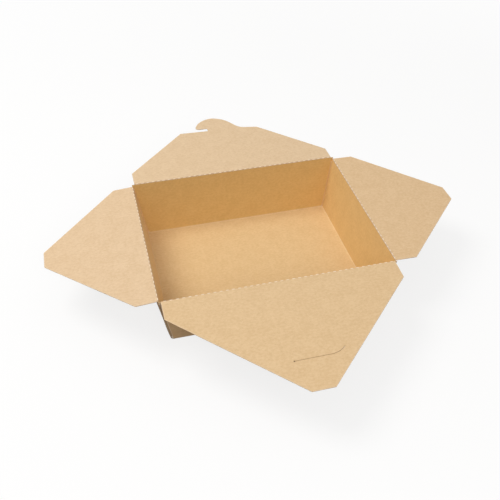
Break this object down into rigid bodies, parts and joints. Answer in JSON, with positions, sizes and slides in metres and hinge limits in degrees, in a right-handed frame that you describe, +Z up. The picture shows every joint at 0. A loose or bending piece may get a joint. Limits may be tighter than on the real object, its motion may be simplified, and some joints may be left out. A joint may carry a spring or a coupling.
{
  "type": "takeaway box",
  "caption": "Open folding takeaway box of plain kraft board with a tapered leak-proof tray, webbed corners and tapered lid flaps that close with a hook and slit.",
  "frame": {"origin": "middle of the underside, on the surface the box stands on", "axes": "+X along the long side to the right flap, +Y to the rear flap with the hook, +Z up"},
  "size_m": [0.3116, 0.3107, 0.0463],
  "materials": {
    "kraft_board": "matt uncoated kraft board"
  },
  "bodies": {
    "tray": {"tray": "kraft_board"},
    "left_flap": {"left_flap": "kraft_board"},
    "right_flap": {"right_flap": "kraft_board"},
    "front_flap": {"front_flap": "kraft_board"},
    "rear_flap": {"rear_flap": "kraft_board"}
  },
  "joints": [
    {"name": "left_fold", "type": "hinge", "parent": "tray", "child": "left_flap", "pos_m": [-0.084, 0, 0.0447], "axis": [0, 1, 0], "range_deg": [-32, 184.3]},
    {"name": "right_fold", "type": "hinge", "parent": "tray", "child": "right_flap", "pos_m": [0.084, 0, 0.0447], "axis": [0, -1, 0], "range_deg": [-35, 181.2]},
    {"name": "front_fold", "type": "hinge", "parent": "tray", "child": "front_flap", "pos_m": [0, -0.0666, 0.0453], "axis": [-1, 0, 0], "range_deg": [-26, 183.8]},
    {"name": "rear_fold", "type": "hinge", "parent": "tray", "child": "rear_flap", "pos_m": [0, 0.0666, 0.0459], "axis": [1, 0, 0], "range_deg": [-28, 181.7]}
  ]
}
